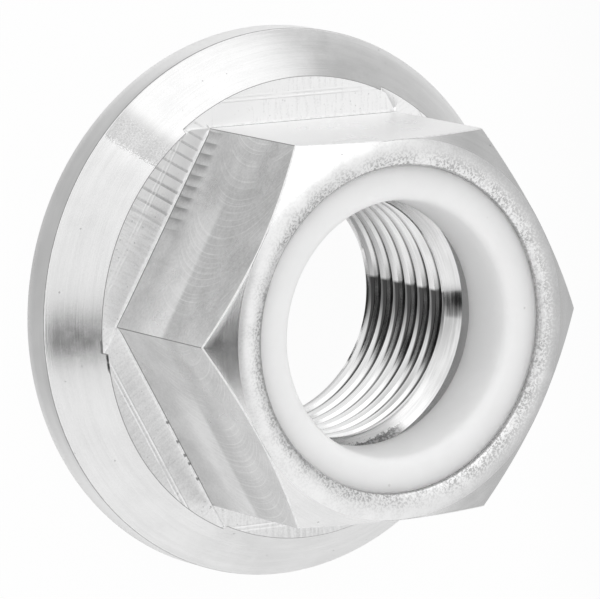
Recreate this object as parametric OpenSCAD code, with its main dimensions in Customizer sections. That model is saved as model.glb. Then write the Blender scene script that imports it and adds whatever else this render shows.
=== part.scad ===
// Hex flange lock nut: a fine-threaded steel nut with a conical flange, and a
// nylon locking ring crimped into the end that faces away from the flange.
// Lengths are in millimetres and angles in degrees. The bearing face lies on
// z = 0, the thread axis is Z, and one corner of the hexagon points along +X.

/* [Thread] */
// Diameter of the tapped hole over its thread crests
thread_minor_d = 10.92; // [9.6:0.02:11.2]
// Chamfer where the hole opens in the bearing face
mouth_chamfer = 0.15; // [0.05:0.05:0.4]
// Width of the 45 degree countersink above the thread
lead_out_w = 0.62; // [0.3:0.02:0.9]

/* [Hexagon] */
// Width across the flats
across_flats = 17; // [16:0.1:18]
// Overall height of the nut
nut_h = 11.55; // [11:0.05:14]
// Slope of each milled ledge along its flat, the way a slightly tilted cutter leaves it
ledge_slope = 0.9; // [0:0.1:1.5]
// Width of the ledge outside the corners of the hexagon
ledge_w = 0.62; // [0.4:0.02:0.9]
// Fillet between each flat and its ledge
foot_fillet = 0.15; // [0.05:0.05:0.3]
// Slope of the chamfer at the free end, from the horizontal
end_chamfer_angle = 32.5; // [25:0.5:40]

/* [Flange] */
// Diameter of the flange
flange_d = 24.8; // [23:0.1:27]
// Height of the flange's cylindrical rim
rim_h = 1.42; // [0.8:0.02:2]
// Slope of the flange's cone, from the horizontal
cone_angle = 45.5; // [35:0.5:50]

/* [Crimped collar] */
// Thinnest wall between the ring's pocket and the flats
pocket_wall = 0.65; // [0.5:0.05:0.9]
// How far the collar's outer edge stands inside the flats
collar_inset = 0.07; // [0.03:0.01:0.2]
// How far the crimped lip reaches over the ring
lip_overhang = 0.55; // [0.3:0.05:0.8]
// Thickness of the crimped lip at its tip
lip_thickness = 0.45; // [0.3:0.05:0.6]
// Slope of the lip's underside, from the horizontal
lip_angle = 35; // [20:1:45]
// Rise of the collar's rounded crown above its edges
crown_rise = 0.15; // [0.1:0.01:0.25]
// Width of the shoulder that carries the ring
seat_w = 0.95; // [0.5:0.05:1.1]
// Depth of the relief inside that shoulder
relief_h = 1.3; // [0.8:0.05:1.6]

/* [Locking ring] */
// Height of the ring at its bore
ring_h = 2.85; // [2:0.05:3.2]
// How far the ring's face lies below the edge of the lip
ring_recess = 0.15; // [0.05:0.05:0.25]
// How far the ring's bore stands outside the thread crests
ring_ease = 0.07; // [0.02:0.01:0.2]
// Taper of the ring's bore, which is wider at its face
ring_taper = 4.3; // [0:0.1:6]
// Rounding of the bore's edge at the ring's face
ring_edge_r = 0.35; // [0.1:0.05:0.5]
// Gap between the ring and the metal around it
ring_clearance = 0.02; // [0.01:0.01:0.05]

/* [Hidden] */
$fn = 128;

// Extra length that carries a cutter clear of the surface it passes
cut = 1;
// Stock left outside the corners before the flats are milled
stock_margin = 0.1;
flat_count = 6;

flat_r = across_flats / 2;
corner_r = flat_r / cos(180 / flat_count);
stock_r = corner_r + stock_margin;
ledge_r = corner_r + ledge_w;
flange_r = flange_d / 2;
ledge_z = cone_z(ledge_r);

edge_z = nut_h - crown_rise;
collar_r = flat_r - collar_inset;
pocket_r = flat_r - pocket_wall;
lip_r = pocket_r - lip_overhang;
lip_tip_z = edge_z - lip_thickness;
lip_root_z = lip_tip_z - lip_overhang * tan(lip_angle);

ring_top_z = edge_z - ring_recess;
seat_z = ring_top_z - ring_h;
crest_r = thread_minor_d / 2;
shoulder_z = seat_z - ring_clearance;
relief_r = pocket_r - seat_w;
relief_z = shoulder_z - relief_h;
thread_top_z = relief_z - lead_out_w;

// Height of the flange's cone at a given radius
function cone_z(r) = rim_h + (flange_r - r) * tan(cone_angle);

// Radius of the ring's tapered bore at a given height
function ring_bore_r(z) = crest_r + ring_ease + (z - seat_z) * tan(ring_taper);

// Section of the collar's crown: the cap of a circle through the lip's and the collar's edges
module crown_section() {
    half_w = (collar_r - lip_r) / 2;
    crown_r = (half_w * half_w + crown_rise * crown_rise) / (2 * crown_rise);
    intersection() {
        translate([lip_r + half_w, nut_h - crown_r]) circle(r = crown_r);
        translate([lip_r - ring_clearance, lip_tip_z])
            square([2 * half_w + ring_clearance, nut_h]);
    }
}

// Section of the turned blank: rim, flange cone, round stock, end chamfer and crown
module blank_section() {
    polygon([
        [0, 0],
        [flange_r, 0],
        [flange_r, rim_h],
        [stock_r, cone_z(stock_r)],
        [stock_r, edge_z - (stock_r - collar_r) * tan(end_chamfer_angle)],
        [collar_r, edge_z],
        [0, edge_z]
    ]);
    crown_section();
}

// Section of everything bored out: mouth, tapped hole, countersink, relief and ring pocket
module bore_section() {
    polygon([
        [0, -cut],
        [crest_r + mouth_chamfer + cut, -cut],
        [crest_r, mouth_chamfer],
        [crest_r, thread_top_z],
        [crest_r + lead_out_w, relief_z],
        [relief_r, relief_z],
        [relief_r, shoulder_z],
        [pocket_r, shoulder_z],
        [pocket_r, lip_root_z],
        [lip_r, lip_tip_z],
        [lip_r, nut_h + cut],
        [0, nut_h + cut]
    ]);
}

// Path of the cutter that mills one flat and the ledge at its foot.
// The flat faces +X, and the ledge falls towards +Y.
module flat_cutter() {
    reach = flange_r - flat_r + cut;
    depth = nut_h - ledge_z + cut;
    translate([flat_r, 0, ledge_z])
        rotate([-ledge_slope, 0, 0])
        rotate([90, 0, 0])
        linear_extrude(height = 2 * corner_r, center = true) {
            translate([foot_fillet, 0]) square([reach, depth]);
            translate([0, foot_fillet]) square([reach, depth]);
            translate([foot_fillet, foot_fillet]) circle(r = foot_fillet);
        }
}

module nut_body() {
    color("silver")
    difference() {
        rotate_extrude() blank_section();
        rotate_extrude() bore_section();
        for (i = [0 : flat_count - 1])
            rotate([0, 0, (i + 0.5) * 360 / flat_count]) flat_cutter();
    }
}

// Section of the ring: it fills the pocket under the lip and rises inside the lip's opening
module ring_section() {
    outer_r = pocket_r - ring_clearance;
    neck_r = lip_r - ring_clearance;
    round_z = ring_top_z - ring_edge_r;
    round_r = ring_bore_r(round_z) + ring_edge_r / cos(ring_taper);
    polygon([
        [ring_bore_r(seat_z), seat_z],
        [outer_r, seat_z],
        [outer_r, lip_root_z - ring_clearance],
        [neck_r, lip_tip_z - ring_clearance],
        [neck_r, ring_top_z],
        [round_r, ring_top_z],
        [round_r - ring_edge_r * cos(ring_taper), round_z + ring_edge_r * sin(ring_taper)]
    ]);
    translate([round_r, round_z]) circle(r = ring_edge_r);
}

module locking_ring() {
    color("white")
    rotate_extrude() ring_section();
}

nut_body();
locking_ring();
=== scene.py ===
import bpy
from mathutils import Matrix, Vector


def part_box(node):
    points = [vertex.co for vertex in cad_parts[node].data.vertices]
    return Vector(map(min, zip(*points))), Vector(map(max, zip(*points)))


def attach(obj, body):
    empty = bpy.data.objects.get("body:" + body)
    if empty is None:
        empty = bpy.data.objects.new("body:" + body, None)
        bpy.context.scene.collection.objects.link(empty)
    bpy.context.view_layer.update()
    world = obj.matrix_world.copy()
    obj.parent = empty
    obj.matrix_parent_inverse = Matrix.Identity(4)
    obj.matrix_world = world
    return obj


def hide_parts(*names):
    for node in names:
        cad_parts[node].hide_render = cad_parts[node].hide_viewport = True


bl_info = {
    "name": "Hex flange lock nut",
    "version": (1, 0, 0),
    "blender": (4, 5, 0),
    "location": "3D View > Sidebar > Lock Nut",
    "description": "Builds the steel nut, its nylon locking ring and a small studio",
    "category": "Add Mesh",
}

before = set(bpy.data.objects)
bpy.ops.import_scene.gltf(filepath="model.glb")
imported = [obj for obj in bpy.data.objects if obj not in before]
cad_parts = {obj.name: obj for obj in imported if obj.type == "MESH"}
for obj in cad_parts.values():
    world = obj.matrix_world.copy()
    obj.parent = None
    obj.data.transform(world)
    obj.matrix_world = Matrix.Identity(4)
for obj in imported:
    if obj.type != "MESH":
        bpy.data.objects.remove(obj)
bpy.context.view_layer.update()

from functools import reduce
from math import ceil, cos, degrees, pi, radians, sin, sqrt, tan

import bmesh
import bpy
from bpy.props import FloatProperty, FloatVectorProperty, PointerProperty
from mathutils import Euler, Vector

NUT_LOW, NUT_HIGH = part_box("nut_body")

MM = 0.001
# Points closer together than this, in metres, become one
WELD = 1e-6
# Edges that turn by more than this are hard, on the metal and on the nylon
HARD_METAL, HARD_NYLON = radians(28), radians(35)
# Sets the level rows at the hole's ends apart from the rows that climb with the thread
LEVEL_SHIFT = 0.1
TURN = 2 * pi
RING_COLUMNS = 288
FLATS = 6
SIXTH = TURN / FLATS

# Angles between which the painted shade line at the ledge's edge is wider, where it stands for a shadowed
# gap
WIDE_GAP_SHADE = (radians(303), radians(311))

# Places on the nut, in millimetres, of the marks that its cutters left, and of the painted shade dashes
# along one ledge's edge
STEPS_PLACE = (-2.6, -9.0, 3.6)
NICKS = (
    (7.54, -4.04, 3.44), (8.07, -3.12, 3.42), (8.45, -2.46, 3.42), (8.68, -2.07, 3.42), (9.10, -1.33, 3.40),
)
GAP_SHADE_DASHES = ((5.82, -8.66, 3.42), (6.02, -8.52, 3.42), (6.34, -8.29, 3.42), (6.62, -8.06, 3.42))

# Sizes of those marks, in millimetres
TRACKS = (9.60, 9.78)
CUTTER_RADIUS = 3.4
CUTTER_MIDDLE = 7.85
STEP_LENGTH = 0.53

# Azimuths of the finish, of the painted shade and of the painted dark reflections that differ round the
# nut, in degrees
DARK_REFLECTION_BAND = 254
DARK_REFLECTION_CRESTS = 113
FOOT_SHADE = 34
LIP_SHADE_BAND, LIP_SHADE_LINE = 315, 265
ROUGH_CROWN = 125
SMOOTH_LEDGE, POLISHED_LEDGE = 330, 210

# Studio, as azimuths or as pairs of azimuth and elevation, in degrees
FLOOR_SHADE_SIDE, DARK_HOLE, DARK_GAP = 125, 154, 318
BRIGHT_SIDE, WEAK_SIDE, KEY_SIDE = (205, 34), (125, 0), (207, 47)
BESIDE_GAP, BEHIND_CAMERA = (328, 53), (298, 78)

# Zones of the nut's surface, in the order of its material slots; the bright edge zone is worn steel with a
# painted highlight, and the dark-line zone is painted shade along edges and gaps
RIM, CONE, LEDGE, FLAT, CROWN, HIDDEN, BORE, WORN_HIGHLIGHT_EDGE, PAINTED_SHADE_LINES = range(9)


def length(name, description, default, low, high):
    """A size that the sidebar shows in the scene's length unit."""
    return FloatProperty(
        name=name, description=description, default=default * MM,
        min=low * MM, max=high * MM, precision=5, subtype="DISTANCE", unit="LENGTH",
    )


def angle(name, description, default, low, high):
    """An angle that the sidebar shows in degrees."""
    return FloatProperty(
        name=name, description=description, default=radians(default),
        min=radians(low), max=radians(high), subtype="ANGLE", unit="ROTATION",
    )


def amount(name, description, default, low=0.0, high=1.0):
    """A plain number without a unit."""
    return FloatProperty(name=name, description=description, default=default, min=low, max=high)


def tone(name, description, default):
    """A colour, given in linear light."""
    return FloatVectorProperty(
        name=name, description=description, default=default, size=3, min=0, max=1, subtype="COLOR"
    )


class LOCKNUT_PG_nut(bpy.types.PropertyGroup):
    """Sizes of the steel nut."""

    height: length("Height", "From the bearing face to the crown", (NUT_HIGH.z - NUT_LOW.z) / MM, 8, 20)
    flange_d: length("Flange diameter", "Over the rim", (NUT_HIGH.x - NUT_LOW.x) / MM, 20, 30)
    rim_h: length("Rim height", "Of the flange's cylindrical rim", 1.42, 0.5, 3)
    cone_angle: angle("Cone angle", "Slope of the flange's cone", 45.5, 30, 60)
    across_flats: length("Across flats", "Width of the hexagon", 17, 14, 20)
    ledge_w: length("Ledge width", "Ledge outside the hexagon's corners", 0.62, 0.2, 1)
    ledge_slope: angle("Ledge slope", "Fall of each ledge along its flat", 0.9, 0, 2)
    foot_fillet: length("Foot fillet", "Between a flat and its ledge", 0.15, 0.02, 0.4)
    end_chamfer: angle("End chamfer", "Slope of the chamfer at the free end", 32.5, 20, 45)
    edge_round: length("Edge rounding", "Wear on the milled and turned edges", 0.06, 0.01, 0.2)
    collar_inset: length("Collar inset", "Collar's outer edge inside the flats", 0.07, 0.02, 0.3)
    pocket_wall: length("Pocket wall", "Between the ring's pocket and the flats", 0.65, 0.4, 1)
    lip_overhang: length("Lip overhang", "Of the crimped lip over the ring", 0.55, 0.2, 1)
    lip_thickness: length("Lip thickness", "At the lip's tip", 0.45, 0.2, 0.8)
    lip_angle: angle("Lip angle", "Slope of the lip's underside", 35, 10, 60)
    crown_rise: length("Crown rise", "Of the rounded crown above its edges", 0.15, 0.05, 0.3)
    seat_w: length("Seat width", "Of the shoulder that carries the ring", 0.95, 0.5, 1.2)
    relief_h: length("Relief depth", "Of the relief inside that shoulder", 1.3, 0.8, 1.6)
    # The dark line is painted shade along edges and gaps
    shade_line_w: length("Burr width", "Of the dark line that a cutter leaves at an edge", 0.035, 0.01, 0.1)


class LOCKNUT_PG_thread(bpy.types.PropertyGroup):
    """Sizes of the tapped hole."""

    minor_d: length("Minor diameter", "Over the thread crests", 10.92, 9, 12)
    pitch: length("Pitch", "Rise of the thread in one turn", 1.0, 0.5, 2)
    groove_start: length("Groove start", "Height of the groove's middle at the corner on +X", 0.726, 0, 2)
    crest_share: amount("Crest share", "Flat crest's share of the pitch", 0.42, 0.2, 0.6)
    corner_blend: length("Corner blend", "Rounding of the crests and roots", 0.025, 0.01, 0.1)
    fade: length("Fade", "Height over which the thread runs out at its ends", 0.22, 0.05, 0.5)
    mouth_chamfer: length("Mouth chamfer", "Where the hole opens in the bearing face", 0.15, 0.05, 0.5)
    lead_out_w: length("Countersink width", "Of the 45 degree cone above the thread", 0.62, 0.3, 0.9)


class LOCKNUT_PG_ring(bpy.types.PropertyGroup):
    """Sizes of the nylon locking ring."""

    height: length("Height", "Of the ring at its bore", 2.85, 1, 4)
    recess: length("Recess", "Of the ring's face below the lip's edge", 0.15, 0.02, 0.4)
    ease: length("Bore ease", "Ring's bore outside the thread crests", 0.07, 0.01, 0.3)
    taper: angle("Bore taper", "The bore is wider at the ring's face", 4.3, 0, 8)
    edge_r: length("Bore edge", "Rounding of the bore at the ring's face", 0.35, 0.1, 0.6)
    clearance: length("Clearance", "Between the ring and the metal", 0.02, 0.005, 0.1)


class LOCKNUT_PG_finish(bpy.types.PropertyGroup):
    """Colours of the nut and of the floor."""

    turned: tone("Turned steel", "Cone, chamfer and bearing face", (0.85, 0.85, 0.85))
    milled: tone("Milled steel", "Flats and rim", (0.58, 0.58, 0.58))
    crimped: tone("Crimped steel", "Rolled crown of the collar", (0.88, 0.88, 0.88))
    tapped: tone("Tapped steel", "Thread and countersink", (0.80, 0.80, 0.80))
    nylon: tone("Nylon", "Locking ring", (0.93, 0.93, 0.93))
    floor: tone("Floor", "Studio floor and backdrop", (0.92, 0.92, 0.92))


class LOCKNUT_PG_studio(bpy.types.PropertyGroup):
    """Where the camera stands, and how the light falls."""

    aim: FloatVectorProperty(
        name="Aim", description="Point that the camera looks at",
        default=(0.18 * MM, -2.03 * MM, 6.0 * MM), subtype="TRANSLATION", unit="LENGTH",
    )
    distance: length("Distance", "From the camera to the aim", 384.9, 100, 1000)
    azimuth: angle("Azimuth", "Of the camera, from +X round to +Y", 284.06, 0, 360)
    elevation: angle("Elevation", "Of the camera above the floor", 56.45, 0, 90)
    roll: angle("Roll", "Turn of the camera about its own axis", 102.93, -180, 180)
    lens: amount("Lens", "Focal length, in millimetres", 519.9, 50, 1000)
    sky: amount("Sky", "Strength of the soft light all round", 0.95, 0, 3)
    key: amount("Key lamp", "Power of the soft key lamp, in watts", 0.03, 0, 5)


GROUPS = {
    "nut": LOCKNUT_PG_nut,
    "thread": LOCKNUT_PG_thread,
    "ring": LOCKNUT_PG_ring,
    "finish": LOCKNUT_PG_finish,
    "studio": LOCKNUT_PG_studio,
}


class LOCKNUT_PG_settings(bpy.types.PropertyGroup):
    """All settings of the lock nut."""

    nut: PointerProperty(type=LOCKNUT_PG_nut)
    thread: PointerProperty(type=LOCKNUT_PG_thread)
    ring: PointerProperty(type=LOCKNUT_PG_ring)
    finish: PointerProperty(type=LOCKNUT_PG_finish)
    studio: PointerProperty(type=LOCKNUT_PG_studio)


def settings():
    return bpy.context.scene.lock_nut


class Form:
    """Radii and heights of the nut, worked out from its sizes."""

    def __init__(self):
        nut, thread, ring = settings().nut, settings().thread, settings().ring
        self.nut, self.thread, self.ring = nut, thread, ring
        self.flat_r = nut.across_flats / 2
        self.corner_r = self.flat_r / cos(SIXTH / 2)
        self.flange_r = nut.flange_d / 2
        self.ledge_z = self.cone_z(self.corner_r + nut.ledge_w)
        self.edge_z = nut.height - nut.crown_rise
        self.collar_r = self.flat_r - nut.collar_inset
        self.pocket_r = self.flat_r - nut.pocket_wall
        self.lip_r = self.pocket_r - nut.lip_overhang
        self.lip_tip_z = self.edge_z - nut.lip_thickness
        self.lip_root_z = self.lip_tip_z - nut.lip_overhang * tan(nut.lip_angle)
        self.ring_top_z = self.edge_z - ring.recess
        self.seat_z = self.ring_top_z - ring.height
        self.crest_r = thread.minor_d / 2
        self.lead_out_r = self.crest_r + thread.lead_out_w
        self.shoulder_z = self.seat_z - ring.clearance
        self.relief_r = self.pocket_r - nut.seat_w
        self.relief_z = self.shoulder_z - nut.relief_h
        self.thread_top_z = self.relief_z - thread.lead_out_w

    def cone_z(self, r):
        """Height of the flange's cone at a radius."""
        return self.nut.rim_h + (self.flange_r - r) * tan(self.nut.cone_angle)

    def chamfer_z(self, r):
        """Height of the end chamfer at a radius."""
        return self.edge_z - (r - self.collar_r) * tan(self.nut.end_chamfer)

    def ledge_height(self, r, turn):
        """Height of a flat's ledge at a radius and an angle from the flat's middle."""
        return self.ledge_z - r * sin(turn) * tan(self.nut.ledge_slope)

    def ledge_end(self, turn):
        """Radius at which a flat's ledge meets the flange's cone."""
        rise = tan(self.nut.cone_angle)
        fall = sin(turn) * tan(self.nut.ledge_slope)
        return (self.nut.rim_h + self.flange_r * rise - self.ledge_z) / (rise - fall)

    def hexagon_r(self, turn):
        """Radius of the hexagon, with rounded corners, at an angle from a flat's middle."""
        to_corner = SIXTH / 2 - abs(turn)
        rounding = self.nut.edge_round
        centre = self.corner_r - rounding / cos(SIXTH / 2)
        sweep = centre * sin(to_corner)
        arc_r = centre * cos(to_corner) + sqrt(max(rounding ** 2 - sweep ** 2, 0))
        tangent = rounding * tan(SIXTH / 2)
        on_arc = self.flat_r * tan(abs(turn)) > self.flat_r * tan(SIXTH / 2) - tangent
        return arc_r if on_arc else self.flat_r / cos(turn)


def eased(before, corner, after, radius, steps):
    """Points of a smooth curve that takes the place of one corner of a section."""
    back, ahead = before - corner, after - corner
    reach = min(radius, 0.45 * back.length, 0.45 * ahead.length)
    start, end = corner + back.normalized() * reach, corner + ahead.normalized() * reach
    curve = []
    for i in range(steps + 1):
        t = i / steps
        curve.append(start * (1 - t) ** 2 + corner * 2 * t * (1 - t) + end * t ** 2)
    return curve


def between(start, end, count):
    """Points spaced evenly between two points, without the ends."""
    return [start.lerp(end, (i + 1) / (count + 1)) for i in range(count)]


def rounded_loop(corners, counts):
    """Closed outline with eased corners, given as (point, radius), and even points between them."""
    curves = []
    for i, (corner, radius) in enumerate(corners):
        before, after = corners[i - 1][0], corners[(i + 1) % len(corners)][0]
        steps = max(1, round(radius / (0.04 * MM)))
        curves.append(eased(before, corner, after, radius, steps))
    outline = []
    for i, curve in enumerate(curves):
        outline += curve + between(curve[-1], curves[(i + 1) % len(curves)][0], counts[i])
    return outline


class Section:
    """Points of a section in the radius and height plane, each with the zone that follows it."""

    def __init__(self):
        self.points, self.zones = [], []

    def add(self, points, zone):
        self.points += points
        self.zones += [zone] * len(points)


def sector_angles():
    """Angles of the columns in one sixth of the nut, close together at the corner and along its step."""
    corner = [radians(0.09) * i for i in range(-5, 6)]
    step = [radians(0.45 + 0.33 * i) for i in range(1, 20)]
    rest_start, rest_count = step[-1], 44
    span = SIXTH + corner[0] - rest_start
    rest = [rest_start + span * i / rest_count for i in range(1, rest_count)]
    return corner + step + rest


def column_angles():
    """Angles of all the columns round the nut, from 0 to a full turn."""
    every = [i * SIXTH + a for i in range(FLATS) for a in sector_angles()]
    return sorted(a % TURN for a in every)


def ledge_points(form, turn):
    """Points from the edge of the cone inwards over a flat's ledge to its foot.

    Behind each corner the ledge of the flat before lies deeper, and its edge
    stands as a small step along that flat's own line.
    """
    before = turn + SIXTH
    fillet = form.nut.foot_fillet
    end_r, end_before = form.ledge_end(turn), form.ledge_end(before)
    step_r = form.flat_r / cos(before) if before < SIXTH * 0.75 else 2 * form.flange_r
    foot_r = form.hexagon_r(turn)
    if step_r >= end_before:
        inner = foot_r + 1.5 * fillet
        start, finish = -SIXTH / 2 + (SIXTH / 10), SIXTH / 2
        along = 1 - min(max((turn - start) / (finish - start), 0), 1)
        spots = [0.9 * along + 0.1 - 0.02 * i for i in range(1, 6)]
        radii = [inner + (end_r - inner) * s for s in spots]
        return [Vector((r, form.ledge_height(r, turn))) for r in [end_r] + radii]
    top_z = form.ledge_height(step_r, turn) if step_r < end_r else form.cone_z(step_r)
    low_z = form.ledge_height(step_r, before)
    reach = min(fillet, top_z - low_z) / cos(before)
    wall, low = Vector((step_r, top_z)), Vector((step_r, low_z))
    outer = Vector((end_before, form.ledge_height(end_before, before)))
    curve = eased(outer, low, wall, min(reach, 0.9 * (end_before - step_r)), 2)
    brink_r = min(step_r, end_r) - 0.002 * MM
    brink = Vector((brink_r, form.ledge_height(brink_r, turn)))
    return [outer] + curve + [wall, brink]


def nut_section(form, theta):
    """Outline of the nut at one angle, from the thread's mouth round to the countersink."""
    nut = form.nut
    turn = theta % SIXTH - SIXTH / 2
    wear = nut.edge_round
    section = Section()

    mouth = Vector((form.crest_r + form.thread.mouth_chamfer, 0))
    under, over = Vector((form.flange_r, 0)), Vector((form.flange_r, nut.rim_h))
    ledge = ledge_points(form, turn)
    foot_r = form.hexagon_r(turn)
    foot = Vector((foot_r, form.ledge_height(foot_r, turn)))
    shoulder = Vector((foot_r, form.chamfer_z(foot_r)))
    collar = Vector((form.collar_r, form.edge_z))
    lip = Vector((form.lip_r, form.edge_z))
    tip = Vector((form.lip_r, form.lip_tip_z))
    root = Vector((form.pocket_r, form.lip_root_z))
    seat = Vector((form.pocket_r, form.shoulder_z))
    shoulder_in = Vector((form.relief_r, form.shoulder_z))
    relief = Vector((form.relief_r, form.relief_z))
    lead_out = Vector((form.lead_out_r, form.relief_z))

    # A wider line of painted shade at the ledge's edge over one range of angles
    in_gap_shade = WIDE_GAP_SHADE[0] < theta < WIDE_GAP_SHADE[1]
    cone_shade_line = ledge[0] + (over - ledge[0]).normalized() * nut.shade_line_w * (3 if in_gap_shade else 1)
    crown = crown_points(form, collar, lip)
    at_corner = abs(turn) > SIXTH / 2 - radians(0.1)

    section.add([mouth] + between(mouth, under, 3), CONE)
    section.add(eased(mouth, under, over, wear, 3), RIM)
    section.add(between(under, over, 2), RIM)
    section.add(eased(under, over, ledge[0], wear, 3), RIM)
    # Where the rim meets the cone: a painted shade line, then worn steel with a painted highlight
    section.zones[-3:] = [PAINTED_SHADE_LINES, WORN_HIGHLIGHT_EDGE, CONE]
    section.add(between(over, cone_shade_line, 3), CONE)
    section.add([cone_shade_line], PAINTED_SHADE_LINES)
    section.add(ledge, LEDGE)
    # The foot's fillet carries a painted highlight, then a painted shade line; at the hexagon's corners the
    # flat's whole column is a painted shade line
    section.add(eased(ledge[-1], foot, shoulder, nut.foot_fillet, 4), WORN_HIGHLIGHT_EDGE)
    section.zones[-5] = LEDGE
    section.zones[-2:] = [PAINTED_SHADE_LINES, PAINTED_SHADE_LINES if at_corner else FLAT]
    section.add(between(foot, shoulder, 4), PAINTED_SHADE_LINES if at_corner else FLAT)
    section.add(eased(foot, shoulder, collar, wear, 3), WORN_HIGHLIGHT_EDGE)
    section.zones[-1] = CONE
    section.add(between(shoulder, collar, 2), CONE)
    section.add(eased(shoulder, collar, crown[0], wear, 2), CROWN)
    section.add(crown, CROWN)
    section.add(eased(crown[-1], lip, tip, 1.5 * wear, 3), CROWN)
    section.add([tip, root, seat, shoulder_in, relief, lead_out], HIDDEN)
    return section


def crown_points(form, collar, lip):
    """Points of the crown's arc between the collar's outer edge and the lip."""
    half_w = (collar.x - lip.x) / 2
    radius = (half_w ** 2 + form.nut.crown_rise ** 2) / (2 * form.nut.crown_rise)
    centre = Vector((lip.x + half_w, form.nut.height - radius))
    count = 8
    points = []
    for i in range(1, count):
        x = half_w * (1 - 2 * i / count)
        points.append(centre + Vector((x, sqrt(radius ** 2 - x ** 2))))
    return points


def sweep(mesh, angles, sections, closed_loop, flat_of):
    """Joins sections at successive angles into a grid of faces all round the axis."""
    columns = []
    for theta, section in zip(angles, sections):
        c, s = cos(theta), sin(theta)
        columns.append([mesh.verts.new((p.x * c, p.x * s, p.y)) for p in section.points])
    flat_layer = mesh.faces.layers.int.get("flat") or mesh.faces.layers.int.new("flat")
    rows = len(columns[0])
    for i, column in enumerate(columns):
        after = columns[(i + 1) % len(columns)]
        for j in range(rows if closed_loop else rows - 1):
            k = (j + 1) % rows
            face = mesh.faces.new((column[j], after[j], after[k], column[k]))
            face.material_index = sections[i].zones[j]
            face[flat_layer] = flat_of(angles[i])


def direction(azimuth, elevation=0):
    """Unit vector at an azimuth from +X and an elevation, both in degrees."""
    a, e = radians(azimuth), radians(elevation)
    return Vector((cos(a) * cos(e), sin(a) * cos(e), sin(e)))


class Wiring:
    """Adds nodes to one tree and joins their sockets."""

    def __init__(self, tree):
        self.tree = tree

    def feed(self, socket, value):
        if isinstance(value, bpy.types.NodeSocket):
            self.tree.links.new(value, socket)
        else:
            socket.default_value = value

    def put(self, kind, inputs=None, **options):
        node = self.tree.nodes.new(kind)
        for name, value in options.items():
            setattr(node, name, value)
        for key, value in (inputs or {}).items():
            self.feed(node.inputs[key], value)
        return node

    def math(self, operation, a, b=0.0, c=0.0, clamp=False):
        node = self.put("ShaderNodeMath", {0: a, 1: b, 2: c}, operation=operation, use_clamp=clamp)
        return node.outputs[0]

    def times(self, *values):
        return reduce(lambda a, b: self.math("MULTIPLY", a, b), values)

    def plus(self, *values):
        return reduce(lambda a, b: self.math("ADD", a, b), values)

    def largest(self, *values):
        return reduce(lambda a, b: self.math("MAXIMUM", a, b), values)

    def minus(self, a, b, clamp=False):
        return self.math("SUBTRACT", a, b, clamp=clamp)

    def over(self, a, b, clamp=False):
        return self.math("DIVIDE", a, b, clamp=clamp)

    def vector(self, operation, a, b=(0, 0, 0), scale=1.0):
        node = self.put("ShaderNodeVectorMath", {0: a, 1: b}, operation=operation)
        if operation == "SCALE":
            self.feed(node.inputs["Scale"], scale)
        return node.outputs["Value" if operation in ("LENGTH", "DOT_PRODUCT") else "Vector"]

    def reach(self, vector, azimuth, elevation=0):
        """How far a vector reaches along a direction, given in degrees."""
        return self.vector("DOT_PRODUCT", vector, tuple(direction(azimuth, elevation)))

    def distance(self, place, centre):
        return self.vector("LENGTH", self.vector("SUBTRACT", place, centre))

    def spread(self, value, low, high, to_low=0.0, to_high=1.0, smooth=True):
        """Maps a range of values onto another one, clamped."""
        node = self.put(
            "ShaderNodeMapRange",
            {"Value": value, "From Min": low, "From Max": high, "To Min": to_low, "To Max": to_high},
            interpolation_type="SMOOTHSTEP" if smooth else "LINEAR",
        )
        return node.outputs["Result"]

    def fall(self, value, low, high, smooth=True):
        """1 below a range of values, falling to 0 above it."""
        return self.spread(value, low, high, 1.0, 0.0, smooth)

    def swing(self, noise, low=0.0, high=1.0):
        """Maps the usual range of a noise onto another range."""
        return self.spread(noise, 0.3, 0.7, low, high)

    def noise(self, vector, scale, detail=2.0, roughness=0.5):
        node = self.put(
            "ShaderNodeTexNoise",
            {"Vector": vector, "Scale": scale, "Detail": detail, "Roughness": roughness},
        )
        return node.outputs["Fac"]

    def split(self, vector):
        return self.put("ShaderNodeSeparateXYZ", {0: vector}).outputs

    def combine(self, x, y, z):
        return self.put("ShaderNodeCombineXYZ", {0: x, 1: y, 2: z}).outputs[0]

    def greys(self, value, colour, dark, light):
        """A colour made darker and lighter by a value from 0 to 1."""
        low = [c * dark for c in colour] + [1]
        high = [min(c * light, 1) for c in colour] + [1]
        node = self.put("ShaderNodeMix", data_type="RGBA")
        self.feed(node.inputs["Factor"], value)
        node.inputs["A"].default_value = low
        node.inputs["B"].default_value = high
        return node.outputs["Result"]


def add_socket(tree, name, kind="Float", default=None, output=False):
    """Adds an input or an output of one kind to a node group."""
    way = "OUTPUT" if output else "INPUT"
    socket = tree.interface.new_socket(name=name, in_out=way, socket_type="NodeSocket" + kind)
    if default is not None:
        socket.default_value = default


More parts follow.
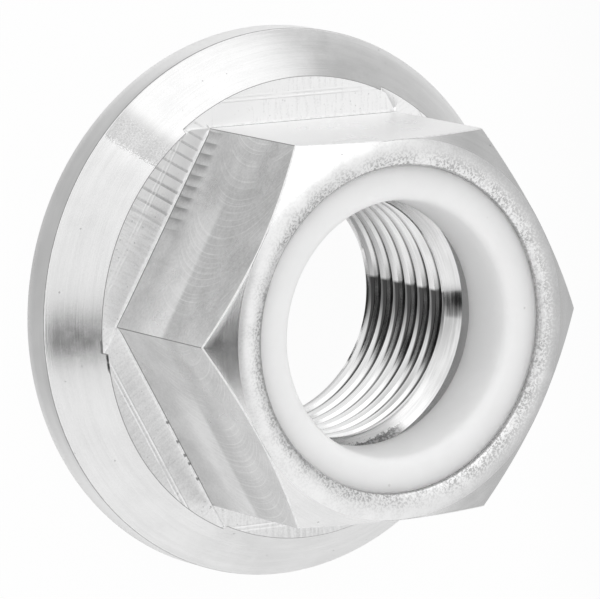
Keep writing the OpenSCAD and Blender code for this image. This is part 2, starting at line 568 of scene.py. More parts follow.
def thread_tree(sizes):
    """Bends a flat grid of turns and heights into the tapped hole with its helical thread."""
    tree = bpy.data.node_groups.new("Tapped Hole", "GeometryNodeTree")
    add_socket(tree, "Geometry", "Geometry")
    for name in sizes:
        add_socket(tree, name)
    add_socket(tree, "Material", "Material")
    add_socket(tree, "Geometry", "Geometry", output=True)
    w = Wiring(tree)
    given = w.put("NodeGroupInput").outputs
    x, y, _ = w.split(w.put("GeometryNodeInputPosition").outputs[0])

    pitch, crest = given["Pitch"], given["Crest Radius"]
    climb = w.times(pitch, w.over(x, TURN))
    z = w.largest(w.plus(y, climb), given["Low"])
    z = w.math("MINIMUM", w.math("MINIMUM", z, given["High"]), w.plus(y, LEVEL_SHIFT))
    z = w.largest(z, w.minus(y, LEVEL_SHIFT))

    # Distance from the middle of the groove, in pitches
    phase = w.minus(w.minus(z, climb), given["Groove Start"])
    phase = w.math("FRACT", w.plus(w.over(phase, pitch), 0.5))
    away = w.math("ABSOLUTE", w.minus(phase, 0.5))

    # Flanks at 60 degrees to each other, with an eighth of a pitch flat at the root
    slope = w.over(pitch, tan(radians(30)))
    open_half = w.minus(0.5, w.times(given["Crest Share"], 0.5))
    flank = w.times(w.minus(open_half, away), slope)
    full = w.times(w.minus(open_half, 1 / 16), slope)
    groove = w.math("SMOOTH_MIN", flank, full, given["Corner Blend"])
    groove = w.math("SMOOTH_MAX", groove, 0.0, given["Corner Blend"])

    # The thread runs out just above the mouth and just below the countersink
    rise = w.over(w.minus(z, given["Mouth Chamfer"]), given["Fade"], clamp=True)
    fall = w.over(w.minus(given["Thread Top"], z), given["Fade"], clamp=True)
    depth = w.math("MINIMUM", groove, w.times(full, w.math("MINIMUM", rise, fall)))

    mouth = w.minus(given["Mouth Chamfer"], z)
    lead_out = w.minus(z, given["Thread Top"])
    r = w.plus(crest, w.largest(depth, w.largest(mouth, lead_out)))
    place = w.combine(w.times(r, w.math("COSINE", x)), w.times(r, w.math("SINE", x)), z)

    bent = w.put("GeometryNodeSetPosition", {"Geometry": given["Geometry"], "Position": place})
    merged = w.put("GeometryNodeMergeByDistance", {"Geometry": bent.outputs[0], "Distance": WELD / 2})
    smooth = w.put("GeometryNodeSetShadeSmooth", {"Geometry": merged.outputs[0]})
    real = w.put("GeometryNodeRealizeInstances", {"Geometry": smooth.outputs[0]})
    made = w.put("GeometryNodeSetMaterial", {"Geometry": real.outputs[0], "Material": given["Material"]})
    w.put("NodeGroupOutput", {"Geometry": made.outputs[0]})
    return tree


def add_object(name, data):
    """Puts a new object into the scene."""
    item = bpy.data.objects.new(name, data)
    bpy.context.scene.collection.objects.link(item)
    return item


def shape_by_nodes(name, mesh, tree, values):
    """Runs a geometry tree on a mesh and gives the result as a plain mesh."""
    carrier = add_object(name, mesh)
    modifier = carrier.modifiers.new("Shape", "NODES")
    modifier.node_group = tree
    for item in tree.interface.items_tree:
        if item.in_out == "INPUT" and item.name in values:
            modifier[item.identifier] = values[item.name]
    graph = bpy.context.evaluated_depsgraph_get()
    result = bpy.data.meshes.new_from_object(carrier.evaluated_get(graph), depsgraph=graph)
    carrier.modifiers.remove(modifier)
    bpy.data.objects.remove(carrier)
    return result


def tapped_hole(form, angles, material):
    """Mesh of the tapped hole, from the thread's mouth to the top of the countersink."""
    pitch, low, high = form.thread.pitch, 2 * form.thread.mouth_chamfer, form.thread_top_z - 0.05 * MM
    # Rows within one turn, close together where the thread's corners are
    spots = (0, 0.05, 0.10, 0.155, 0.21, 0.235, 0.27, 0.5, 0.73, 0.765, 0.79, 0.845, 0.90, 0.95)
    start = form.thread.groove_start - (ceil(form.thread.groove_start / pitch) + 1) * pitch
    turns = ceil((high - start) / pitch)
    mouth = [low * i / 4 - LEVEL_SHIFT for i in range(5)]
    helix = [start + (i + s) * pitch for i in range(turns) for s in spots]
    end = [high + (form.relief_z - high) * i / 16 + LEVEL_SHIFT for i in range(17)]
    heights = mouth + helix + end
    grid = bmesh.new()
    around = angles + [angles[0] + TURN]
    columns = [[grid.verts.new((a, h, 0)) for h in heights] for a in around]
    for left, right in zip(columns, columns[1:]):
        for j in range(len(heights) - 1):
            grid.faces.new((left[j], left[j + 1], right[j + 1], right[j]))
    mesh = bpy.data.meshes.new("hole_grid")
    grid.to_mesh(mesh)
    grid.free()
    sizes = {
        "Crest Radius": form.crest_r,
        "Pitch": pitch,
        "Groove Start": form.thread.groove_start,
        "Corner Blend": form.thread.corner_blend,
        "Fade": form.thread.fade,
        "Mouth Chamfer": form.thread.mouth_chamfer,
        "Crest Share": form.thread.crest_share,
        "Thread Top": form.thread_top_z,
        "Low": low,
        "High": high,
    }
    return shape_by_nodes("hole_grid", mesh, thread_tree(sizes), {**sizes, "Material": material})


def store_tool_coordinates(mesh):
    """Keeps each face corner's place on its own flat: along, outwards and up, in millimetres."""
    flats = [item.value for item in mesh.attributes["flat"].data]
    along = mesh.attributes.new("tool", "FLOAT_VECTOR", "CORNER")
    for polygon in mesh.polygons:
        middle = (flats[polygon.index] + 0.5) * SIXTH
        c, s = cos(middle), sin(middle)
        for loop in polygon.loop_indices:
            x, y, z = mesh.vertices[mesh.loops[loop].vertex_index].co / MM
            along.data[loop].vector = (y * c - x * s, x * c + y * s, z)


def mark_sharp(mesh, limit):
    """Marks the edges that turn more than the limit, so that shading breaks there."""
    for edge in mesh.edges:
        if len(edge.link_faces) == 2 and edge.calc_face_angle(0) > limit:
            edge.smooth = False


def smooth_mesh(name, shape, limit):
    """Turns a closed shape into a smooth mesh with its hard edges marked."""
    bmesh.ops.recalc_face_normals(shape, faces=shape.faces)
    for face in shape.faces:
        face.smooth = True
    mark_sharp(shape, limit)
    mesh = bpy.data.meshes.new(name)
    shape.to_mesh(mesh)
    shape.free()
    return mesh


def finish_piece(name, mesh_data, materials, node):
    """Makes a mesh into a piece that stands for its CAD node."""
    for material in materials:
        mesh_data.materials.append(material)
    piece = add_object(name, mesh_data)
    shading = piece.modifiers.new("Weighted Normal", "WEIGHTED_NORMAL")
    shading.keep_sharp = True
    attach(piece, "root")
    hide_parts(node)


def new_group(name, inputs, outputs):
    """A shader group with its wiring and its inputs, whose defaults are None for a vector."""
    tree = bpy.data.node_groups.new(name, "ShaderNodeTree")
    for key, default in inputs.items():
        add_socket(tree, key, "Vector" if default is None else "Float", default)
    for key in outputs:
        add_socket(tree, key, output=True)
    w = Wiring(tree)
    return tree, w, w.put("NodeGroupInput").outputs


def grooves_group():
    """Fine parallel tool marks across one coordinate, broken up along the others."""
    name = "Tool Marks"
    if name in bpy.data.node_groups:
        return bpy.data.node_groups[name]
    tree, w, given = new_group(
        name, {"Across": 0.0, "Along": None, "Spacing": 0.05, "Run": 1.0}, ("Height", "Tone"))
    across = w.over(given["Across"], given["Spacing"])
    run_x, run_y, _ = w.split(w.vector("SCALE", given["Along"], scale=w.over(1.0, given["Run"])))
    fine = w.noise(w.combine(across, run_x, run_y), 1.0, 3.0, 0.6)
    coarse = w.noise(w.combine(w.times(across, 0.15), run_x, run_y), 1.0)
    shade = w.spread(blend(w, fine, coarse, 0.5), 0.36, 0.64, smooth=False)
    w.put("NodeGroupOutput", {"Height": fine, "Tone": shade})
    return tree


def specks_group():
    """Small pits and dust, scattered thinly."""
    name = "Specks"
    if name in bpy.data.node_groups:
        return bpy.data.node_groups[name]
    tree, w, given = new_group(
        name, {"Vector": None, "Spacing": 0.5, "Size": 0.15, "Amount": 0.2}, ("Mask",))
    wobble = w.put("ShaderNodeTexNoise", {"Vector": given["Vector"], "Scale": 6.0}).outputs["Color"]
    moved = w.vector("ADD", given["Vector"], w.vector("SCALE", wobble, scale=0.12))
    cells = w.put("ShaderNodeTexVoronoi", {"Vector": moved, "Scale": w.over(1.0, given["Spacing"])})
    inner = w.times(given["Size"], 0.6)
    dot = w.fall(cells.outputs["Distance"], inner, given["Size"])
    kept = w.math("LESS_THAN", w.split(cells.outputs["Color"])[0], given["Amount"])
    w.put("NodeGroupOutput", {"Mask": w.times(dot, kept)})
    return tree


def place_group(w, tree, inputs):
    """Outputs of a shader group, placed in a material with its inputs fed."""
    node = w.put("ShaderNodeGroup")
    node.node_tree = tree
    for key, value in inputs.items():
        w.feed(node.inputs[key], value)
    return node.outputs


def grooves(w, across, along, spacing, run):
    """Height and tone of the tool marks, with their spacing and length in millimetres."""
    given = {"Across": across, "Along": along, "Spacing": spacing, "Run": run}
    return place_group(w, grooves_group(), given)


def specks(w, place, spacing, size, amount):
    """1 inside the specks, with their spacing and size in millimetres."""
    given = {"Vector": place, "Spacing": spacing, "Size": size, "Amount": amount}
    return place_group(w, specks_group(), given)["Mask"]


def new_finish(name):
    """A material with its wiring, its shader and its Object coordinates in millimetres."""
    material = bpy.data.materials.new(name)
    material.use_nodes = True
    w = Wiring(material.node_tree)
    place = w.vector("SCALE", w.put("ShaderNodeTexCoord").outputs["Object"], scale=1 / MM)
    return material, w, material.node_tree.nodes["Principled BSDF"], place


def coat(w, shader, colour, roughness, metallic=1.0, others=()):
    """Feeds the shader's main values, and others as pairs of an input's name and a value."""
    main = (("Base Color", colour), ("Roughness", roughness), ("Metallic", metallic))
    for name, value in (*main, *others):
        w.feed(shader.inputs[name], value)


def bump(w, shader, height, depth, strength=1.0):
    """Feeds a height from 0 to 1 to the shader's normal, with its depth in millimetres."""
    node = w.put("ShaderNodeBump", {"Height": height, "Distance": depth * MM, "Strength": strength})
    w.feed(shader.inputs["Normal"], node.outputs[0])


def painted_sheen(w, colour, light, low, high):
    """A colour that pales towards grazing view: a painted sheen."""
    facing = w.put("ShaderNodeLayerWeight", {"Blend": 0.5}).outputs["Facing"]
    node = w.put("ShaderNodeMix", {"Factor": w.spread(facing, low, high)}, data_type="RGBA")
    w.feed(node.inputs["A"], colour)
    node.inputs["B"].default_value = (light, light, light, 1)
    return node.outputs["Result"]


def polar(w, place):
    """Radius and height of a place on the nut, and the direction outwards from the axis."""
    x, y, z = w.split(place)
    level = w.combine(x, y, 0.0)
    return w.vector("LENGTH", level), z, w.vector("NORMALIZE", level)


def spot(w, place, centre, size):
    """1 at a point on the nut, falling smoothly to 0 at a distance, all in millimetres."""
    return w.fall(w.distance(place, centre), 0.35 * size, size)


def lobe(w, vector, azimuth, elevation, inner, outer):
    """1 within an angle of a direction, falling smoothly to 0 at a wider one, all in degrees."""
    return w.spread(w.reach(vector, azimuth, elevation), cos(radians(outer)), cos(radians(inner)))


def blend(w, first, second, share):
    """Mixes two values by a fixed share of the second."""
    return w.plus(w.times(first, 1 - share), w.times(second, share))


def turned_steel(colour):
    """Lathe-turned cone and chamfer: fine rings, soft clouds, specks and one band of painted dark
    reflection.
    """
    material, w, shader, place = new_finish("turned_steel")
    r, z, around = polar(w, place)
    lines = grooves(w, w.minus(r, z), around, 0.07, 0.35)
    grain = w.noise(place, 16.0, 3.0, 0.6)
    cloud = w.noise(place, 0.55, 3.0, 0.55)
    dust = specks(w, place, 0.42, 0.13, 0.16)

    # A band of painted dark reflection crosses the cone, with one soft side and one ragged side
    side = w.plus(w.reach(around, DARK_REFLECTION_BAND + 90), w.swing(grain, -0.012, 0.012))
    painted_dark = w.times(
        w.spread(side, -0.105, -0.03), w.fall(side, 0.058, 0.074),
        w.spread(w.reach(around, DARK_REFLECTION_BAND), 0.7, 0.8), w.spread(r, 10.2, 10.5),
        w.math("GREATER_THAN", z, 0.5), w.swing(grain, 0.56, 0.32))
    value = blend(w, blend(w, lines["Tone"], w.swing(cloud), 0.5), w.swing(grain), 0.25)
    value = w.minus(w.plus(0.68, w.times(value, 0.32)), w.times(dust, 0.55))
    value = w.minus(value, painted_dark, clamp=True)
    coat(w, shader, w.greys(value, colour, 0.5, 1.06), w.swing(cloud, 0.18, 0.27))
    bump(w, shader, blend(w, lines["Height"], grain, 0.35), 0.006, 0.8)
    return material


def rim_steel(colour):
    """Turned rim of the flange: lines of constant height."""
    material, w, shader, place = new_finish("rim_steel")
    z = w.split(place)[2]
    lines = grooves(w, z, place, 0.07, 3.0)
    cloud = w.noise(place, 0.6)
    greys = w.greys(blend(w, lines["Tone"], w.swing(cloud), 0.6), colour, 0.9, 1.03)
    # The colour pales towards grazing view: a painted sheen
    coat(w, shader, painted_sheen(w, greys, 0.95, 0.46, 0.74), w.swing(cloud, 0.28, 0.36))
    bump(w, shader, lines["Height"], 0.004, 0.7)
    return material


def tool_place(w):
    """Place on the flat, in millimetres: along it, outwards and up."""
    node = w.put("ShaderNodeAttribute", attribute_name="tool", attribute_type="GEOMETRY")
    return w.split(node.outputs["Vector"])


def nicks_and_gap_shade(w, place):
    """1 inside the few small nick marks on the foot of one flat, and inside the painted shade dashes along
    one ledge's edge.
    """
    marks = [spot(w, place, centre, 0.12) for centre in NICKS]
    return w.largest(*marks, *[spot(w, place, centre, 0.2) for centre in GAP_SHADE_DASHES])


def cutter_steps(w, along, place):
    """Short even steps where the cutter entered: a ramp from 0 to 1 in each, and where they are."""
    return w.math("FRACT", w.over(along, STEP_LENGTH)), spot(w, place, STEPS_PLACE, 3.6)


def milled_flat_steel(colour):
    """Milled flats: arcs of the cutter's teeth, a paler band along the flat and steps at its foot."""
    material, w, shader, place = new_finish("milled_flat_steel")
    along, _, up = tool_place(w)
    dz = w.minus(up, CUTTER_MIDDLE)
    half = w.math("SQRT", w.largest(w.minus(CUTTER_RADIUS ** 2, w.times(dz, dz)), 0.0))
    fine = w.noise(w.combine(w.times(w.minus(along, half), 6.5), 0.0, 0.0), 1.0, 2.0, 0.7)
    patch = w.noise(place, 0.42)
    above_foot = w.spread(up, 4.6, 6.2)
    seen = w.times(w.spread(patch, 0.38, 0.56), above_foot)
    arcs = w.times(w.spread(fine, 0.47, 0.66), seen)
    band = w.times(above_foot, w.fall(up, 7.0, 7.4), w.spread(along, -2.6, 0.3, 0.15, 1.0))
    ramp, entered = cutter_steps(w, along, place)
    steps = w.times(
        w.fall(ramp, 0.0, 0.8, smooth=False), entered, w.fall(up, 4.3, 4.9))
    grain = w.noise(place, 9.0, 3.0, 0.6)
    end = w.times(w.spread(up, 7.6, 9.2), w.spread(w.split(place)[0], 1.0, 8.0, -0.16, 0.22))
    value = w.plus(
        w.swing(w.noise(place, 0.7), 0.3, 0.5), w.times(band, 0.48), end,
        w.spread(up, 4.6, 6.0, 0.1, 0.0), w.times(arcs, 0.26), w.spread(grain, 0.25, 0.75, -0.1, 0.1),
        w.times(steps, -0.7))
    greys = w.greys(w.minus(value, nicks_and_gap_shade(w, place), clamp=True), colour, 0.72, 1.5)
    # The colour pales towards grazing view: a painted sheen
    coat(w, shader, painted_sheen(w, greys, 0.97, 0.58, 0.86), w.swing(patch, 0.26, 0.34))
    bump(w, shader, w.plus(w.times(fine, seen), w.times(grain, 0.3)), 0.008, 0.8)
    return material


def milled_ledge_steel(colour):
    """Milled ledges: entry steps, fine lines across them and tracks along the foot of the flat."""
    material, w, shader, place = new_finish("milled_ledge_steel")
    along, out, _ = tool_place(w)
    across = w.noise(w.combine(w.times(along, 6.0), w.times(out, 0.8), 0.0), 1.0, 2.0, 0.6)
    broken = w.spread(w.noise(place, 0.9), 0.35, 0.55, 0.25, 1.0)
    first, second = [
        w.fall(w.math("ABSOLUTE", w.minus(out, track)), 0.02, 0.06) for track in TRACKS
    ]
    track = w.times(w.largest(first, w.times(second, 0.6)), broken)
    ramp, entered = cutter_steps(w, along, place)
    rung = blend(w, w.spread(ramp, 0.1, 0.9, smooth=False), w.spread(ramp, 0.66, 0.88), 0.8)
    grain = w.noise(place, 12.0, 3.0, 0.65)
    dust = specks(w, place, 0.24, 0.2, 0.3)
    smoother = w.spread(w.reach(place, SMOOTH_LEDGE), 5.0, 8.0, 1.0, 0.45)
    lined = w.times(w.spread(entered, 0.2, 0.8, 0.6, 0.15), smoother)
    sideways = w.math("ABSOLUTE", w.split(place)[1])
    value = w.minus(0.8, w.times(w.spread(across, 0.34, 0.66, 0.42, 0.0), lined))
    value = w.plus(
        value, w.spread(w.reach(place, POLISHED_LEDGE), 4.8, 7.5, 0.0, 0.36),
        w.spread(sideways, 6.2, 8.2, 0.0, 0.2), w.swing(grain, -0.12, 0.08),
        w.times(rung, entered, -0.8), w.times(track, 0.35))
    value = w.minus(value, w.times(dust, 0.35), clamp=True)
    coat(w, shader, w.greys(value, colour, 0.5, 1.17), 0.28, w.spread(sideways, 6.2, 8.2, 1.0, 0.5))
    bump(w, shader, w.plus(w.times(across, lined), w.times(track, 4.0)), 0.004, 0.8)
    return material


def crimped_steel(form, colour):
    """Rolled crown of the collar: a bright, finely pitted grain and a painted shade line at the lip."""
    material, w, shader, place = new_finish("crimped_steel")
    r, _, around = polar(w, place)
    out = w.minus(r, form.lip_r / MM)
    grain = w.noise(place, 8.5, 2.0, 0.7)
    rougher = w.times(w.spread(w.reach(place, ROUGH_CROWN), 0.0, 6.0), w.spread(out, 0.15, 0.5))
    wide = w.plus(w.noise(place, 1.1), w.times(rougher, 0.15))
    rough = w.times(w.spread(wide, 0.32, 0.6, 0.35, 1.0), w.spread(out, 0.05, 0.9, 1.0, 0.15))
    pits = w.times(w.spread(w.minus(grain, w.times(rougher, 0.05)), 0.42, 0.54, 0.85, 0.0), rough)
    # Painted shade at the lip: a wider band on one side, a line on another and a faint line all round
    lip = w.largest(
        w.times(w.spread(out, 0.1, 0.22, 0.68, 0.0), lobe(w, around, LIP_SHADE_BAND, 0, 26, 40)),
        w.times(w.spread(out, 0.06, 0.1, 0.68, 0.0), lobe(w, around, LIP_SHADE_LINE, 0, 75, 95)),
        w.spread(out, 0.015, 0.05, 0.6, 0.0))
    value = w.minus(w.minus(w.spread(wide, 0.3, 0.8, 1.0, 0.86), pits), lip, clamp=True)
    coat(w, shader, w.greys(value, colour, 0.5, 1.08), 0.4)
    bump(w, shader, w.times(grain, rough), 0.035, 0.8)
    return material


def tapped_steel(form, colour):
    """Bright thread and countersink: fine lines round them, painted shade in the roots, painted dark
    reflection over one range and a ragged band of painted shade under the ring's foot.
    """
    material, w, shader, place = new_finish("tapped_steel")
    r, z, around = polar(w, place)
    crest, top, outer = form.crest_r / MM, form.thread_top_z / MM, form.lead_out_r / MM
    # Painted shade deep in the thread's roots, below the thread's top
    root = w.times(w.spread(r, crest + 0.16, crest + 0.23), w.fall(z, top - 0.1, top))
    lines = grooves(w, z, place, 0.09, 2.5)
    # Painted dark reflection over one range round the hole, on the crests, the upper flanks and the
    # countersink
    side = w.reach(around, DARK_REFLECTION_CRESTS - 90)
    begins = w.times(w.spread(side, -0.25, -0.215), lobe(w, around, DARK_REFLECTION_CRESTS, 0, 40, 50))

    # Place within one turn: 0 at the middle of the groove, 0.5 at the middle of the crest
    x, y, _ = w.split(around)
    rise = w.over(w.minus(z, form.thread.groove_start / MM), form.thread.pitch / MM)
    phase = w.math("FRACT", w.minus(rise, w.over(w.math("ARCTAN2", y, x), TURN)))
    upper = w.spread(w.minus(phase, w.times(side, 0.45)), 0.44, 0.57)
    upper = w.times(upper, w.spread(side, 0.3, 0.52, 0.95, 0.0))
    crests = w.largest(upper, w.spread(side, -0.1, 0.33, 0.7, 0.0))
    crests = w.times(crests, w.fall(r, crest + 0.045, crest + 0.075))
    flanks = w.times(upper, w.spread(side, -0.22, 0.0, 0.8, 0.0), w.math("LESS_THAN", z, top))
    patch = w.largest(w.fall(side, -0.06, 0.01), w.spread(side, 0.0, 0.35, 0.4, 0.0))
    patch = w.times(patch, w.spread(z, top + 0.02, top + 0.1), w.spread(lines["Tone"], 0.2, 0.8, 0.6, 0.3))
    painted_dark = w.times(w.largest(crests, flanks, patch), begins)

    # Ragged band of painted shade under the ring's foot
    chips = w.noise(place, 7.0, 2.0, 0.6)
    edge = w.plus(r, w.spread(chips, 0.35, 0.65, -0.06, 0.06))
    foot = w.times(w.spread(edge, outer - 0.33, outer - 0.26), lobe(w, around, FOOT_SHADE, 0, 20, 28),
                   w.spread(chips, 0.42, 0.62, 0.74, 0.5))
    value = w.minus(w.spread(lines["Tone"], 0, 1, 0.8, 1.0), w.times(root, 0.8))
    value = w.minus(value, w.largest(painted_dark, foot), clamp=True)
    coat(w, shader, w.greys(value, colour, 0.08, 1.14), w.spread(lines["Tone"], 0, 1, 0.12, 0.2))
    bump(w, shader, lines["Height"], 0.004, 0.6)
    return material


def plain_steel(name, level, roughness, metallic):
    """Steel of one grey, for worn bright edges with a painted highlight and for painted shade lines along
    edges and gaps.
    """
    material, w, shader, place = new_finish(name)
    value = w.minus(w.swing(w.noise(place, 6.0), 0.8, 1.0), nicks_and_gap_shade(w, place), clamp=True)
    coat(w, shader, w.greys(value, (level,) * 3, 0.3, 1.05), roughness, metallic)
    return material


def nylon(colour):
    """Translucent white nylon with faint flow marks and a few specks."""
    material, w, shader, place = new_finish("white_nylon")
    value = w.swing(w.noise(place, 0.5, 3.0), 0.85, 1.0)
    value = w.minus(value, w.times(specks(w, place, 0.9, 0.09, 0.14), 0.5), clamp=True)
    # The faint glow stands for light that passes through the ring
    coat(w, shader, w.greys(value, colour, 0.6, 1.0), 0.5, 0.0, (
        ("Subsurface Weight", 1.0), ("Subsurface Radius", (1.0, 1.0, 1.0)), ("Subsurface Scale", 2.5 * MM),
        ("Emission Color", (1, 1, 1, 1)), ("Emission Strength", 0.09)))
    bump(w, shader, w.noise(place, 3.0, 3.0), 0.012, 0.4)
    return material


class LOCKNUT_OT_nut(bpy.types.Operator):
    """Builds the steel nut with its thread, and finishes each of its surfaces"""

    bl_idname = "lock_nut.nut"
    bl_label = "Steel Nut"

    def execute(self, context):
        form = Form()
        angles = column_angles()
        sections = [nut_section(form, theta) for theta in angles]
        shell = bmesh.new()
        sweep(shell, angles, sections, False, lambda theta: int(theta // SIXTH) % FLATS)
        colours = settings().finish
        tapped = tapped_steel(form, colours.tapped)
        flats = shell.faces.layers.int["flat"]
        first = len(shell.faces)
        shell.from_mesh(tapped_hole(form, angles, tapped))
        shell.faces.ensure_lookup_table()
        for face in shell.faces[first:]:
            face.material_index = BORE
            face[flats] = 0
        bmesh.ops.remove_doubles(shell, verts=shell.verts, dist=WELD)
        bmesh.ops.dissolve_degenerate(shell, edges=shell.edges, dist=WELD / 10)
        open_edges = sum(1 for edge in shell.edges if not edge.is_manifold)
        if open_edges:
            raise RuntimeError(f"the nut's mesh has {open_edges} open edges")
        mesh = smooth_mesh("steel_nut", shell, HARD_METAL)
        store_tool_coordinates(mesh)
        turned = turned_steel(colours.turned)
        materials = [
            rim_steel(colours.milled), turned, milled_ledge_steel(colours.turned),
            milled_flat_steel(colours.milled), crimped_steel(form, colours.crimped), turned, tapped,
            plain_steel("worn_edge_highlight_steel", 0.97, 0.3, 0.4), plain_steel("shade_line_steel", 0.3, 0.4, 1.0),
        ]
        finish_piece("steel_nut", mesh, materials, "nut_body")
        return {"FINISHED"}


def ring_section(form):
    """Outline of the nylon ring, anticlockwise from the foot of its bore."""
    ring = form.ring

    def bore_r(z):
        return form.crest_r + ring.ease + (z - form.seat_z) * tan(ring.taper)

    gap, wear = ring.clearance, 0.05 * MM
    shoulder_z, neck_z = form.lip_root_z - gap, form.lip_tip_z - gap
    top_z, outer_r, neck_r = form.ring_top_z, form.pocket_r - gap, form.lip_r - gap
    places = (
        (bore_r(form.seat_z), form.seat_z), (outer_r, form.seat_z), (outer_r, shoulder_z),
        (neck_r, neck_z), (neck_r, top_z),
    )
    corners = [(Vector(place), wear) for place in places]
    corners.append((Vector((bore_r(top_z), top_z)), 1.2 * ring.edge_r))
    section = Section()
    section.add(rounded_loop(corners, [4, 2, 1, 1, 5, 8]), 0)
    return section


class LOCKNUT_OT_ring(bpy.types.Operator):
    """Builds the nylon locking ring that the collar holds"""

    bl_idname = "lock_nut.ring"
    bl_label = "Locking Ring"

    def execute(self, context):
        form = Form()
        angles = [TURN * i / RING_COLUMNS for i in range(RING_COLUMNS)]
        body = bmesh.new()
        sweep(body, angles, [ring_section(form)] * RING_COLUMNS, True, lambda theta: 0)
        mesh = smooth_mesh("nylon_ring", body, HARD_NYLON)
        finish_piece("nylon_ring", mesh, [nylon(settings().finish.nylon)], "locking_ring")
        return {"FINISHED"}


def height_at(elevation):
    """Height of a unit vector at an elevation in degrees."""
    return sin(radians(elevation))


def upright_gap(w, ray, azimuth, soft, sharp, low, high):
    """1 in an upright gap between screens, with a soft side, a sharp side and soft ends, in degrees."""
    side, up = w.reach(ray, azimuth + 90), w.split(ray)[2]
    return w.times(
        w.spread(side, -height_at(soft), -height_at(soft * 0.3)),
        w.fall(side, height_at(sharp * 0.1), height_at(sharp)),
        w.math("GREATER_THAN", w.reach(ray, azimuth), 0.0),
        w.spread(up, height_at(low), height_at(low + 8)),
        w.fall(up, height_at(high - 8), height_at(high)))


def studio_world(strength):
    """Soft light from all round, with a bright side, a weak side and three dark places.

    The dark places are an upright gap, a patch beside it and one behind the camera.
    """
    world = bpy.data.worlds.new("studio")
    bpy.context.scene.world = world
    world.use_nodes = True
    w = Wiring(world.node_tree)
    back = world.node_tree.nodes["Background"]
    ray = w.put("ShaderNodeTexCoord").outputs["Generated"]
    bright = w.times(lobe(w, ray, *BRIGHT_SIDE, 14, 46), 0.30)
    weak = w.times(lobe(w, ray, *WEAK_SIDE, 38, 60), 0.42)
    gap = upright_gap(w, ray, DARK_GAP, 15, 5, 19, 80)
    beside = w.times(lobe(w, ray, *BESIDE_GAP, 3, 13), 0.75)
    below_zenith = w.fall(w.split(ray)[2], height_at(67), height_at(76))
    behind_camera = w.times(lobe(w, ray, *BEHIND_CAMERA, 18.5, 20.5), below_zenith)
    dark = w.times(w.largest(gap, behind_camera, beside), 0.97)
    level = w.times(w.minus(w.plus(1.0, bright), weak), w.minus(1.0, dark))
    w.feed(back.inputs["Color"], w.combine(level, level, level))
    back.inputs["Strength"].default_value = strength


def soft_lamp(name, azimuth, elevation, distance, size, power):
    """A square area lamp that faces the nut."""
    lamp = bpy.data.lights.new(name, "AREA")
    lamp.shape, lamp.size, lamp.energy = "SQUARE", size, power
    holder = add_object(name, lamp)
    holder.location = direction(azimuth, elevation) * distance
    holder.rotation_euler = holder.location.to_track_quat("Z", "Y").to_euler()


def studio_floor(colour):
    """A wide pale floor that is nearly white to the camera and keeps a faint shadow, with painted shade at
    one side and a painted glow for the metal to mirror.
    """
    # It lies a little below the bearing face, so that the two aren't level
    half, low = 3.0, -0.02 * MM
    mesh = bpy.data.meshes.new("floor")
    corners = [(-half, -half, low), (half, -half, low), (half, half, low), (-half, half, low)]
    mesh.from_pydata(corners, [], [(0, 1, 2, 3)])
    material, w, shader, place = new_finish("floor_paper")
    # Painted shade darkens the floor towards one side, for the metal to mirror
    outside_floor_shade = w.fall(w.reach(place, FLOOR_SHADE_SIDE), 11, 22)
    coat(w, shader, w.greys(outside_floor_shade, colour, 0.3, 1.0), 0.9, 0.0, (("Specular IOR Level", 0.1),))
    glow = w.put("ShaderNodeEmission", {"Color": (1, 1, 1, 1), "Strength": 1.0})

    # Metal mirrors a painted glow on the floor: bright inside the hole, with a painted shadow at one side,
    # and dimmer outside
    middle, hole_r, outside_r = w.vector("LENGTH", place), 5, 5.6
    shaded = w.distance(place, tuple(direction(DARK_HOLE) * outside_r))
    shade = w.spread(shaded, 0.2, 5.2, 0.06, 1.0, smooth=False)
    inside = w.times(w.spread(middle, hole_r, outside_r, 0.97, 0.0), shade)
    seen = w.largest(inside, w.spread(middle, hole_r, outside_r, 0.0, 0.4))
    ray = w.put("ShaderNodeLightPath").outputs
    seen = w.times(w.largest(ray["Is Glossy Ray"], ray["Is Transmission Ray"]), seen)
    share = w.largest(w.times(ray["Is Camera Ray"], 0.96), seen)
    mixed = w.put("ShaderNodeMixShader", {0: share, 1: shader.outputs[0], 2: glow.outputs[0]})
    # Clear from below, so that the bearing face can be looked at
    below = w.put("ShaderNodeNewGeometry").outputs["Backfacing"]
    clear = w.put("ShaderNodeBsdfTransparent").outputs[0]
    sided = w.put("ShaderNodeMixShader", {0: below, 1: mixed.outputs[0], 2: clear})
    w.feed(w.tree.nodes["Material Output"].inputs["Surface"], sided.outputs[0])
    mesh.materials.append(material)
    add_object("floor", mesh)


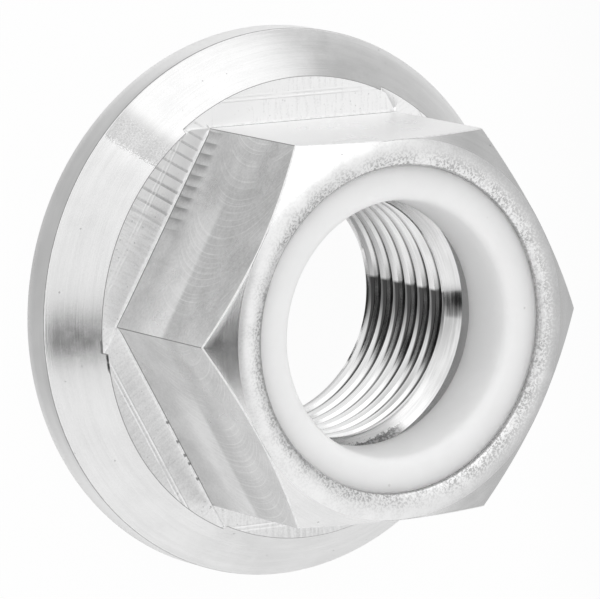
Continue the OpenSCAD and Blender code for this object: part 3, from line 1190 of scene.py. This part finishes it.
def studio_camera(studio):
    """The camera at the photograph's viewing angle."""
    data = bpy.data.cameras.new("camera")
    data.lens, data.sensor_width = studio.lens, 36
    data.clip_start, data.clip_end = 0.01, 10
    back = direction(degrees(studio.azimuth), degrees(studio.elevation))
    camera = add_object("camera", data)
    camera.location = Vector(studio.aim) + back * studio.distance
    upright = (-back).to_track_quat("-Z", "Y")
    camera.rotation_mode = "QUATERNION"
    camera.rotation_quaternion = upright @ Euler((0, 0, studio.roll)).to_quaternion()
    bpy.context.scene.camera = camera


class LOCKNUT_OT_studio(bpy.types.Operator):
    """Sets up the camera, the floor and the soft light"""

    bl_idname = "lock_nut.studio"
    bl_label = "Studio"

    def execute(self, context):
        studio = settings().studio
        studio_camera(studio)
        studio_floor(settings().finish.floor)
        studio_world(studio.sky)
        soft_lamp("key_lamp", *KEY_SIDE, 0.35, 0.20, studio.key)
        context.scene.view_settings.view_transform = "Standard"
        return {"FINISHED"}


class LOCKNUT_PT_panel(bpy.types.Panel):
    """Lists the nut's settings and its operators."""

    bl_label = "Lock Nut"
    bl_idname = "LOCKNUT_PT_panel"
    bl_space_type = "VIEW_3D"
    bl_region_type = "UI"
    bl_category = "Lock Nut"

    def draw(self, context):
        for name, group in GROUPS.items():
            box = self.layout.box()
            box.label(text=name.capitalize())
            for prop in group.__annotations__:
                box.prop(getattr(context.scene.lock_nut, name), prop)
        for operator in OPERATORS:
            self.layout.operator(operator.bl_idname)


OPERATORS = (LOCKNUT_OT_studio, LOCKNUT_OT_nut, LOCKNUT_OT_ring)
CLASSES = (*GROUPS.values(), LOCKNUT_PG_settings, *OPERATORS, LOCKNUT_PT_panel)


def register():
    for cls in CLASSES:
        bpy.utils.register_class(cls)
    bpy.types.Scene.lock_nut = PointerProperty(type=LOCKNUT_PG_settings)


def unregister():
    del bpy.types.Scene.lock_nut
    for cls in reversed(CLASSES):
        bpy.utils.unregister_class(cls)


def write_sizes():
    """Updates the view layer."""
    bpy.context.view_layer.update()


def main():
    register()
    bpy.ops.lock_nut.studio()
    bpy.ops.lock_nut.nut()
    bpy.ops.lock_nut.ring()
    write_sizes()


if __name__ == "__main__":
    main()
